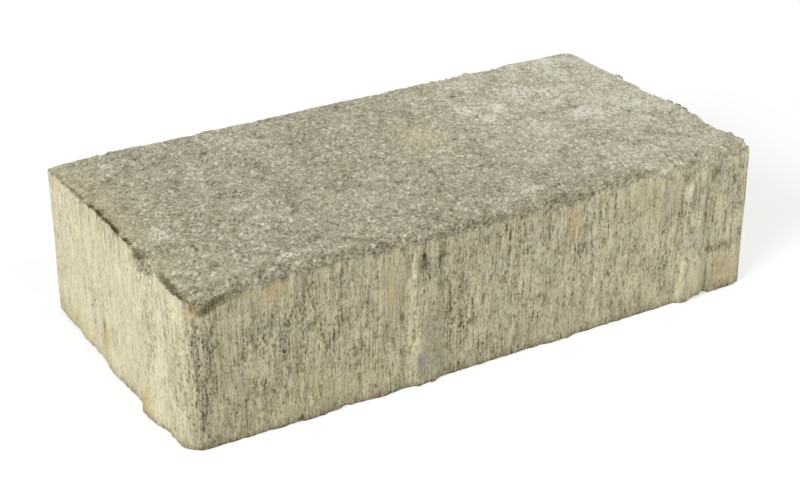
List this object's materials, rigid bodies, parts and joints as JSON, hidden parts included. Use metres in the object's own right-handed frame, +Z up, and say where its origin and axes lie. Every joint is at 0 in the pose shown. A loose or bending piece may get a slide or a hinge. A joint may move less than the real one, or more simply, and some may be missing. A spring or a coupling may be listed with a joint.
{
  "type": "concrete paving stone",
  "caption": "Rectangular pressed concrete paving stone with rounded upright corners, a softened top edge and tapered spacer nibs on every side, laid on a bed as paving.",
  "frame": {"origin": "middle of the bed face, which lies on the floor", "axes": "+X along the length, +Y along the width, +Z up towards the wearing face"},
  "size_m": [0.203, 0.103, 0.05],
  "materials": {
    "concrete": "matt, sandy wearing face, sides with drag marks and small pits"
  },
  "bodies": {
    "root": {"paving_stone": "concrete"}
  },
  "joints": []
}
